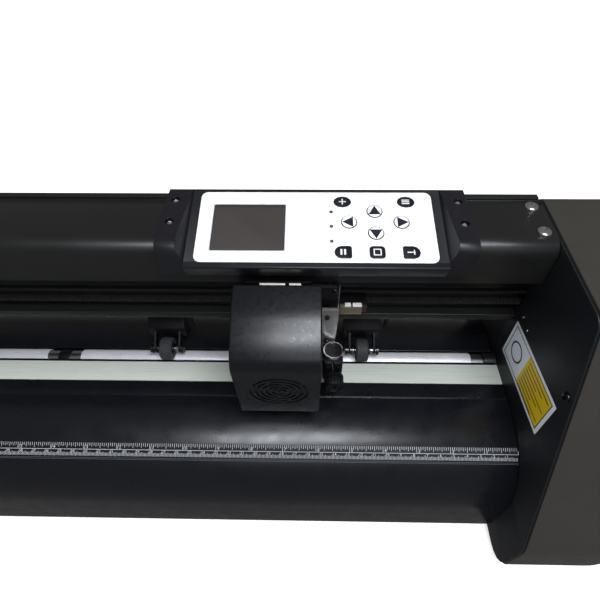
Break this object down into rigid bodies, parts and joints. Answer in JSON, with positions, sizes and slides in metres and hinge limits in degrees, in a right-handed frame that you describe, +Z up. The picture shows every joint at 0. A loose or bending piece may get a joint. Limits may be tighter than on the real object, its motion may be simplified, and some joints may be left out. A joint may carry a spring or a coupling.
{
  "type": "vinyl cutter",
  "caption": "Desktop vinyl cutter: a belt-driven tool carriage runs along a beam above a grit feed roller with sprung pinch wheels, between two end housings.",
  "frame": {"origin": "middle of the footprint on the surface that the feet stand on", "axes": "+X along the beam towards the end with the control panel, +Y from the operator to the back, +Z up"},
  "size_m": [0.963, 0.21, 0.2495],
  "materials": {
    "housing": "satin warm dark grey",
    "plate": "satin near-black",
    "beam": "satin black anodised look",
    "platen": "satin black",
    "cutting_strip": "matte, pale grey-green",
    "black_plastic": "satin black",
    "grained_cover": "fine leather grain",
    "grit": "grit blasted",
    "rail": "blackened, ground",
    "steel": "ground",
    "brass": "satin",
    "motor": "dark grey",
    "rubber": "matte",
    "overlay": "satin white film",
    "keys": "printed, dark",
    "display": "dark glossy lens",
    "board": "circuit board green"
  },
  "bodies": {
    "machine": {"main_beam": "beam", "guide_rail": "rail", "front_platen": "platen", "cutting_strip": "cutting_strip", "rear_platen": "platen", "base_pan": "plate", "right_side_plate": "plate", "left_side_plate": "plate", "right_end_cover": "housing", "left_end_cover": "housing", "foot_front_right": "rubber", "foot_front_left": "rubber", "foot_rear_right": "rubber", "foot_rear_left": "rubber", "feed_motor": "motor", "centre_support": "black_plastic", "drive_belt": "rubber", "carriage_motor": "motor", "main_board": "board", "power_supply": "steel", "power_inlet": "black_plastic", "panel_housing": "housing", "panel_overlay": "overlay", "display_window": "display", "panel_board": "board"},
    "feed_roller": {"feed_shaft": "steel", "grit_sleeve_left": "grit", "grit_sleeve_right": "grit", "feed_gear": "black_plastic"},
    "feed_pinion": {"feed_pinion": "brass"},
    "motor_pulley": {"motor_pulley": "steel"},
    "idler_pulley": {"idler_pulley": "steel"},
    "carriage": {"slide_block": "steel", "carriage_plate": "black_plastic", "carriage_cover": "grained_cover", "carriage_board": "board", "lift_solenoid": "steel", "belt_clamp": "brass"},
    "tool": {"tool_slide": "steel", "blade_holder": "steel"},
    "clamp_knob": {"clamp_knob": "black_plastic"},
    "power_switch": {"power_switch": "black_plastic"},
    "pinch_bracket_1": {"pinch_bracket_1": "black_plastic"},
    "pinch_arm_1": {"pinch_arm_1": "black_plastic"},
    "pinch_wheel_1": {"pinch_wheel_1": "rubber"},
    "pinch_bracket_2": {"pinch_bracket_2": "black_plastic"},
    "pinch_arm_2": {"pinch_arm_2": "black_plastic"},
    "pinch_wheel_2": {"pinch_wheel_2": "rubber"},
    "pinch_bracket_3": {"pinch_bracket_3": "black_plastic"},
    "pinch_arm_3": {"pinch_arm_3": "black_plastic"},
    "pinch_wheel_3": {"pinch_wheel_3": "rubber"},
    "key_upper_left": {"key_upper_left": "keys"},
    "key_upper_right": {"key_upper_right": "keys"},
    "key_up": {"key_up": "keys"},
    "key_left": {"key_left": "keys"},
    "key_right": {"key_right": "keys"},
    "key_down": {"key_down": "keys"},
    "key_lower_left": {"key_lower_left": "keys"},
    "key_lower_middle": {"key_lower_middle": "keys"},
    "key_lower_right": {"key_lower_right": "keys"}
  },
  "joints": [
    {"name": "carriage_slide", "type": "slide", "parent": "machine", "child": "carriage", "axis": [1, 0, 0], "range_m": [-0.52, 0.1]},
    {"name": "tool_lift", "type": "slide", "parent": "carriage", "child": "tool", "axis": [0, 0, 1], "range_m": [-0.0025, 0], "stiffness_N_per_m": 400, "springref_m": 0.004},
    {"name": "clamp_knob_turn", "type": "hinge", "parent": "tool", "child": "clamp_knob", "pos_m": [0.23, -0.005, 0.1396], "axis": [0, -1, 0], "range_deg": [0, 360]},
    {"name": "feed_spin", "type": "hinge", "parent": "machine", "child": "feed_roller", "pos_m": [0, 0.0343, 0.1075], "axis": [1, 0, 0], "continuous": true},
    {"name": "pinion_spin", "type": "hinge", "parent": "machine", "child": "feed_pinion", "pos_m": [0.381, 0.0043, 0.085], "axis": [1, 0, 0], "continuous": true},
    {"name": "motor_pulley_spin", "type": "hinge", "parent": "machine", "child": "motor_pulley", "pos_m": [0.4, 0.0455, 0.1844], "axis": [0, 1, 0], "range_deg": [-900, 4660]},
    {"name": "idler_pulley_spin", "type": "hinge", "parent": "machine", "child": "idler_pulley", "pos_m": [-0.4, 0.0455, 0.1844], "axis": [0, 1, 0], "range_deg": [-900, 4660]},
    {"name": "power_rocker", "type": "hinge", "parent": "machine", "child": "power_switch", "pos_m": [-0.4779, 0.02, 0.0865], "axis": [0, 1, 0], "range_deg": [0, 18]},
    {"name": "pinch_slide_1", "type": "slide", "parent": "machine", "child": "pinch_bracket_1", "axis": [1, 0, 0], "range_m": [-0.065, 0.2]},
    {"name": "pinch_lift_1", "type": "hinge", "parent": "pinch_bracket_1", "child": "pinch_arm_1", "pos_m": [-0.27, 0.062, 0.146], "axis": [1, 0, 0], "range_deg": [-10, 0], "stiffness_Nm_per_rad": 0.5, "springref_deg": 17.19},
    {"name": "pinch_spin_1", "type": "hinge", "parent": "pinch_arm_1", "child": "pinch_wheel_1", "pos_m": [-0.27, 0.0343, 0.1253], "axis": [1, 0, 0], "continuous": true},
    {"name": "pinch_slide_2", "type": "slide", "parent": "machine", "child": "pinch_bracket_2", "axis": [1, 0, 0], "range_m": [-0.05, 0.03]},
    {"name": "pinch_lift_2", "type": "hinge", "parent": "pinch_bracket_2", "child": "pinch_arm_2", "pos_m": [0.092, 0.062, 0.146], "axis": [1, 0, 0], "range_deg": [-10, 0], "stiffness_Nm_per_rad": 0.5, "springref_deg": 17.19},
    {"name": "pinch_spin_2", "type": "hinge", "parent": "pinch_arm_2", "child": "pinch_wheel_2", "pos_m": [0.092, 0.0343, 0.1253], "axis": [1, 0, 0], "continuous": true},
    {"name": "pinch_slide_3", "type": "slide", "parent": "machine", "child": "pinch_bracket_3", "axis": [1, 0, 0], "range_m": [-0.09, 0.07]},
    {"name": "pinch_lift_3", "type": "hinge", "parent": "pinch_bracket_3", "child": "pinch_arm_3", "pos_m": [0.255, 0.062, 0.146], "axis": [1, 0, 0], "range_deg": [-10, 0], "stiffness_Nm_per_rad": 0.5, "springref_deg": 17.19},
    {"name": "pinch_spin_3", "type": "hinge", "parent": "pinch_arm_3", "child": "pinch_wheel_3", "pos_m": [0.255, 0.0343, 0.1253], "axis": [1, 0, 0], "continuous": true},
    {"name": "key_upper_left_press", "type": "slide", "parent": "machine", "child": "key_upper_left", "axis": [0, -0.2045, 0.9789], "range_m": [-0.0006, 0], "stiffness_N_per_m": 300, "springref_m": 0.001},
    {"name": "key_upper_right_press", "type": "slide", "parent": "machine", "child": "key_upper_right", "axis": [0, -0.2045, 0.9789], "range_m": [-0.0006, 0], "stiffness_N_per_m": 300, "springref_m": 0.001},
    {"name": "key_up_press", "type": "slide", "parent": "machine", "child": "key_up", "axis": [0, -0.2045, 0.9789], "range_m": [-0.0006, 0], "stiffness_N_per_m": 300, "springref_m": 0.001},
    {"name": "key_left_press", "type": "slide", "parent": "machine", "child": "key_left", "axis": [0, -0.2045, 0.9789], "range_m": [-0.0006, 0], "stiffness_N_per_m": 300, "springref_m": 0.001},
    {"name": "key_right_press", "type": "slide", "parent": "machine", "child": "key_right", "axis": [0, -0.2045, 0.9789], "range_m": [-0.0006, 0], "stiffness_N_per_m": 300, "springref_m": 0.001},
    {"name": "key_down_press", "type": "slide", "parent": "machine", "child": "key_down", "axis": [0, -0.2045, 0.9789], "range_m": [-0.0006, 0], "stiffness_N_per_m": 300, "springref_m": 0.001},
    {"name": "key_lower_left_press", "type": "slide", "parent": "machine", "child": "key_lower_left", "axis": [0, -0.2045, 0.9789], "range_m": [-0.0006, 0], "stiffness_N_per_m": 300, "springref_m": 0.001},
    {"name": "key_lower_middle_press", "type": "slide", "parent": "machine", "child": "key_lower_middle", "axis": [0, -0.2045, 0.9789], "range_m": [-0.0006, 0], "stiffness_N_per_m": 300, "springref_m": 0.001},
    {"name": "key_lower_right_press", "type": "slide", "parent": "machine", "child": "key_lower_right", "axis": [0, -0.2045, 0.9789], "range_m": [-0.0006, 0], "stiffness_N_per_m": 300, "springref_m": 0.001}
  ],
  "couplings": [
    {"joint": "pinion_spin", "follows": "feed_spin", "ratio": -4},
    {"joint": "pinch_spin_1", "follows": "feed_spin", "ratio": -0.84211},
    {"joint": "pinch_spin_2", "follows": "feed_spin", "ratio": -0.84211},
    {"joint": "pinch_spin_3", "follows": "feed_spin", "ratio": -0.84211},
    {"joint": "motor_pulley_spin", "follows": "carriage_slide", "rad_per_m": -156.25},
    {"joint": "idler_pulley_spin", "follows": "carriage_slide", "rad_per_m": -156.25}
  ]
}
